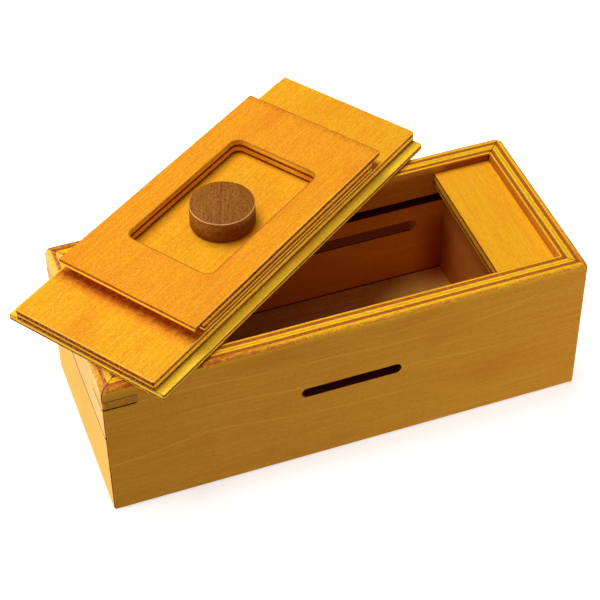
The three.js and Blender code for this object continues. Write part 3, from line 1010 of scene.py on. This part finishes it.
# %% Stop pegs
PEG_TONES = {"pale": srgb(224, 170, 96), "deep": srgb(196, 136, 66), "dark": srgb(130, 76, 32)}
peg_wood = solid_wood("peg_wood", PEG_TONES, (0, 0, 0), (1, 0, 0), (0, 0, 1), 51.0)
for side in ("left", "right"):
    low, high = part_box(f"{side}_stop_peg")
    peg = peg_cylinder(f"{side}_stop_peg", 0.0, high.x - low.x)
    peg.name = f"{side}_peg_dowel"
    choose_sharp_edges(peg)
    bpy.ops.mesh.bevel(offset=PEG_ARRIS, segments=3, affect="EDGES")
    bpy.ops.object.mode_set(mode="OBJECT")
    bpy.ops.object.shade_smooth_by_angle(angle=SMOOTH)
    install(peg, f"{side}_stop_peg", "box", peg_wood)
print("peg diameter, mm:", round(1000 * (high.z - low.z), 2))

# %% [markdown]
# ## The lid
#
# The lid's three boards are made square to the axes at the origin, and then turned and moved to
# where the lid lies. The bottom board is the widest, so that its long edges are the tongues. The top
# board has a window, and its short ends are undercut so that they close over the box's ledges.

# %% Where the lid lies
bottom_low, bottom_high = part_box("lid_bottom_board")
top_low, top_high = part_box("lid_top_board")
lid_centre = (bottom_low + bottom_high) / 2
LID_ALONG = Vector((math.cos(LID_YAW), math.sin(LID_YAW), 0))


def rectangle_sides(low, high):
    """Length and width of a rectangle from its box after the lid's turn."""
    span = high - low
    cosine, sine = math.cos(LID_YAW), math.sin(LID_YAW)
    scale = cosine * cosine - sine * sine
    return (span.x * cosine - span.y * sine) / scale, (span.y * cosine - span.x * sine) / scale


def lay_on_rim(piece):
    """Turns a piece made at the origin to the lid's angle, and moves it to the lid's place."""
    pick(piece)
    piece.rotation_euler = (0, 0, LID_YAW)
    piece.location = (lid_centre.x, lid_centre.y, 0)
    bpy.ops.object.transform_apply(location=True, rotation=True, scale=True)


# %% Lid boards
LID_CORNER = 0.5 * MM
PIN_HOLE_RADIUS = 3.3 * MM


def lid_blank(name, node):
    """A lid board's block, square to the axes at the origin, with small round corners."""
    low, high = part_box(node)
    length, width = rectangle_sides(low, high)
    piece = block(name, (-length / 2, -width / 2, low.z), (length / 2, width / 2, high.z))
    round_corners(piece, LID_CORNER, 4, lambda a, b: abs(a.z - b.z) > 1 * MM)
    return piece


def pin_hole():
    """A drill's cylinder for the knob's pin, where the pin is before the lid is turned."""
    low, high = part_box("knob_pin")
    place = (low + high) / 2 - Vector((lid_centre.x, lid_centre.y, 0))
    place = Matrix.Rotation(-LID_YAW, 3, "Z") @ place
    bpy.ops.object.select_all(action="DESELECT")
    bpy.ops.mesh.primitive_cylinder_add(vertices=48, radius=PIN_HOLE_RADIUS, depth=DRILL_LENGTH,
                                        location=place)
    bpy.ops.object.transform_apply(location=True, rotation=True, scale=True)
    return bpy.context.object


def finish_lid_board(piece, node, stain, seed, plies, ends, lip_shadow_span=None, opening=None,
                     worn_and_lit_sides=(-1, 1)):
    """Sands a lid board, lays it where the lid lies and gives it its plywood."""
    sand(piece, LID_ARRIS)
    lay_on_rim(piece)
    low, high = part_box(node)
    centre = (lid_centre.x, lid_centre.y, (low.z + high.z) / 2)
    install(piece, node, "lid", plywood(
        f"{piece.name}_plywood", stain, centre, LID_ALONG, (0, 0, -1), high.z - low.z, plies, seed,
        rectangle_sides(low, high), ends, lines=0.0, roughness=0.65, flecks=0.4,
        lip_shadow_span=lip_shadow_span, opening=opening, worn_and_lit_sides=worn_and_lit_sides))


bottom = lid_blank("lid_bottom_ply", "lid_bottom_board")
carve(bottom, pin_hole())
# The bottom board's brighter stain is painted light on its tongues.
finish_lid_board(bottom, "lid_bottom_board", TONGUE_LIT, 61.0, plies=((0.14, 0.50), (0.80, 1.1)),
                 ends=((-0.1, 0.12), (0.55, 0.85)))

top_length = rectangle_sides(top_low, top_high)[0] / MM
# The middle board gets painted shadow over this span under the top board's lip.
UNDER_LIP = (top_length / 2 - UNDERCUT_DEPTH / MM, top_length / 2)
middle = lid_blank("lid_middle_ply", "lid_middle_board")
carve(middle, pin_hole())
finish_lid_board(middle, "lid_middle_board", GOLD, 64.0, plies=((0.20, 0.42), (0.82, 1.1)),
                 ends=((0.09, 0.50), (0.66, 1.1)), lip_shadow_span=UNDER_LIP)

# %% [markdown]
# The top board is cut twice more. A block with round corners goes right through for the window, and
# two blocks take the lower part of the short ends away, which leaves a thin lip over each.

# %% The top board, with its window and its undercut ends
WINDOW_PLIES = ((0.33, 0.54), (0.86, 1.1))
half_length, half_width = (side / 2 for side in rectangle_sides(top_low, top_high))
top = lid_blank("lid_top_ply", "lid_top_board")
window = block("cutter",
               (WINDOW_OFFSET - WINDOW_LENGTH / 2, -WINDOW_WIDTH / 2, top_low.z - CUTTER_PAST),
               (WINDOW_OFFSET + WINDOW_LENGTH / 2, WINDOW_WIDTH / 2, top_high.z + CUTTER_PAST))
round_corners(window, WINDOW_RADIUS, 8, lambda a, b: abs(a.z - b.z) > 10 * MM)
carve(top, window)
for end in (1, -1):
    x = span(half_length - UNDERCUT_DEPTH, half_length + CUTTER_PAST, end)
    y = (-half_width - CUTTER_PAST, half_width + CUTTER_PAST)
    z = (top_low.z - CUTTER_PAST, top_low.z + UNDERCUT_HEIGHT)
    carve(top, block("cutter", *zip(x, y, z)))
finish_lid_board(
    top, "lid_top_board", AMBER, 67.0, plies=((0.06, 0.32), (0.56, 0.80), (0.95, 1.1)),
    ends=((0.0, 0.10), (0.62, 0.9)), worn_and_lit_sides=(0, 1),
    opening=(*(size / MM for size in (WINDOW_LENGTH / 2, WINDOW_WIDTH / 2, WINDOW_RADIUS,
                                      WINDOW_OFFSET)), WINDOW_PLIES))

# %% [markdown]
# ## The knob
#
# The knob is turned on a lathe, so it is spun here: a profile of a few points, from the axis out
# along the top, down the side and back, goes once round the axis. Its arris is a small quarter
# round that catches the light as a thin bright ring.

# %% Turned pieces
def turned(name, profile, centre, steps=96):
    """Spins a profile of (radius, height) points once round an upright axis through centre."""
    bpy.ops.object.select_all(action="DESELECT")
    bpy.ops.mesh.primitive_plane_add(size=0.01, location=(0, 0, 0))
    piece = bpy.context.object
    piece.name = name
    piece.data.name = name
    bpy.ops.object.mode_set(mode="EDIT")
    bpy.ops.mesh.select_mode(type="VERT")
    bpy.ops.mesh.select_all(action="SELECT")
    bpy.ops.mesh.merge(type="CENTER")
    bpy.ops.transform.translate(value=Vector((profile[0][0], 0, profile[0][1])))
    for (radius, height), (next_radius, next_height) in zip(profile, profile[1:]):
        bpy.ops.mesh.extrude_region_move(TRANSFORM_OT_translate={
            "value": Vector((next_radius - radius, 0, next_height - height))})
    bpy.ops.mesh.select_all(action="SELECT")
    bpy.ops.mesh.spin(steps=steps, angle=math.tau, center=(0, 0, 0), axis=(0, 0, 1))
    bpy.ops.mesh.select_all(action="SELECT")
    bpy.ops.mesh.remove_doubles(threshold=0.005 * MM)
    bpy.ops.mesh.normals_make_consistent(inside=False)
    bpy.ops.object.mode_set(mode="OBJECT")
    piece.location = centre
    bpy.ops.object.transform_apply(location=True, rotation=True, scale=True)
    bpy.ops.object.shade_smooth_by_angle(angle=SMOOTH)
    return piece


def quarter_round(radius, height, ease, steps=4):
    """Points of an eased outer edge, from the side up to the top."""
    turns = [math.pi / 2 * step / steps for step in range(steps + 1)]
    return [(radius - ease + ease * math.cos(t), height - ease + ease * math.sin(t)) for t in turns]


# %% The knob
knob_low, knob_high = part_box("knob")
knob_radius = (knob_high.x - knob_low.x) / 2
knob_height = knob_high.z - knob_low.z
knob_centre = ((knob_low.x + knob_high.x) / 2, (knob_low.y + knob_high.y) / 2, knob_low.z)
HOLE_RADIUS = 3.15 * MM
HOLE_DEPTH = 4.65 * MM
KNOB_EASE = 0.38 * MM
CROWN = 0.12 * MM                       # how much higher the top is in its middle
# The knob's pale arris tone is the colour of its painted highlight.
KNOB_TONES = {"pale": srgb(178, 116, 30), "deep": srgb(150, 82, 24), "dark": srgb(98, 42, 12),
              "worn": srgb(255, 206, 130)}
dark_wood = solid_wood("dark_turned_wood", KNOB_TONES, knob_centre, (0.33, 0.94, 0), (0, 0, 1),
                       71.0, rings=0.3, lit_arris_ring=(knob_radius, knob_height))
knob = turned("turned_knob", [
    (0, HOLE_DEPTH), (HOLE_RADIUS, HOLE_DEPTH), (HOLE_RADIUS, 0),
    (knob_radius - KNOB_EASE, 0), (knob_radius, KNOB_EASE),
    *quarter_round(knob_radius, knob_height - CROWN, KNOB_EASE),
    (knob_radius * 0.6, knob_height - CROWN * 0.3), (0, knob_height)], knob_centre)
install(knob, "knob", "knob", dark_wood)
print("knob, mm:", round(2000 * knob_radius, 1), "across and", round(1000 * knob_height, 1), "high")

# %% [markdown]
# The pin is turned in the same way. Its head lies under the lid, and the knob's blind hole sits on
# its upper end.

# %% The knob's pin
pin_low, pin_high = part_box("knob_pin")
head_radius = (pin_high.x - pin_low.x) / 2
pin_height = pin_high.z - pin_low.z
PIN_RADIUS = 3 * MM
HEAD_THICK = 2.2 * MM
PIN_EASE = 0.3 * MM
pin = turned("turned_pin", [
    (0, 0), (head_radius - PIN_EASE, 0), (head_radius, PIN_EASE),
    *quarter_round(head_radius, HEAD_THICK, PIN_EASE),
    (PIN_RADIUS, HEAD_THICK), (PIN_RADIUS, pin_height - PIN_EASE),
    (PIN_RADIUS - PIN_EASE, pin_height), (0, pin_height)],
    (knob_centre[0], knob_centre[1], pin_low.z), steps=48)
install(pin, "knob_pin", "knob", dark_wood)
print("pin, mm:", round(2000 * PIN_RADIUS, 1), "across")

# %% [markdown]
# ## Floor and light
#
# The main light is a large soft one above and behind the box on the left. It makes all the tops
# bright and leaves the front, the inside and the edges of the lid's boards in shade, which brings
# out the plies. A second one, low on the left, lights the left end, and a weak one near the front
# right corner makes the front a little lighter to the right. The sky is dim, and the floor is kept
# from throwing light up, as a black flag under the table edge would do it. It shines a little by
# itself, so that the box leaves only a faint shadow on it.

# %% Floor
bpy.ops.object.select_all(action="DESELECT")
bpy.ops.mesh.primitive_plane_add(size=12, location=(0, 0, -0.4 * MM))
floor = bpy.context.object
floor.name = "studio_floor"
floor_material, floor_shader = start_material("pale_floor")[:2]
floor_shader.inputs["Base Color"].default_value = (0.97, 0.97, 0.97, 1)
floor_shader.inputs["Roughness"].default_value = 0.9
floor_shader.inputs["Specular IOR Level"].default_value = 0.1
floor_shader.inputs["Emission Color"].default_value = (1, 1, 1, 1)
floor_shader.inputs["Emission Strength"].default_value = 0.62
floor.data.materials.append(floor_material)
floor.visible_diffuse = False
floor.visible_glossy = False


# %% Lights and sky
def soft_light(name, place, size, power):
    """A square lamp that faces the middle of the box."""
    bpy.ops.object.light_add(type="AREA", location=place)
    lamp = bpy.context.object
    lamp.name = name
    lamp.data.size = size
    lamp.data.energy = power
    aim = Vector((0, 0, 0.04)) - Vector(place)
    lamp.rotation_euler = aim.to_track_quat("-Z", "Y").to_euler()


soft_light("main_softbox", (-0.22, 0.34, 1.25), 0.8, 14.5)
soft_light("left_softbox", (-1.1, 0.05, 0.12), 0.3, 10.3)
soft_light("front_right_fill", (0.56, -0.52, 0.06), 0.12, 2.7)

world = bpy.data.worlds.new("studio")
bpy.context.scene.world = world
world.use_nodes = True
sky = world.node_tree.nodes["Background"]
ray = world.node_tree.nodes.new("ShaderNodeLightPath")
seen = world.node_tree.nodes.new("ShaderNodeMapRange")
seen.inputs["To Min"].default_value = 0.16
seen.inputs["To Max"].default_value = 1.0
world.node_tree.links.new(ray.outputs["Is Camera Ray"], seen.inputs["Value"])
world.node_tree.links.new(seen.outputs["Result"], sky.inputs["Strength"])
sky.inputs["Color"].default_value = (1, 1, 1, 1)
bpy.context.scene.view_settings.view_transform = "Standard"
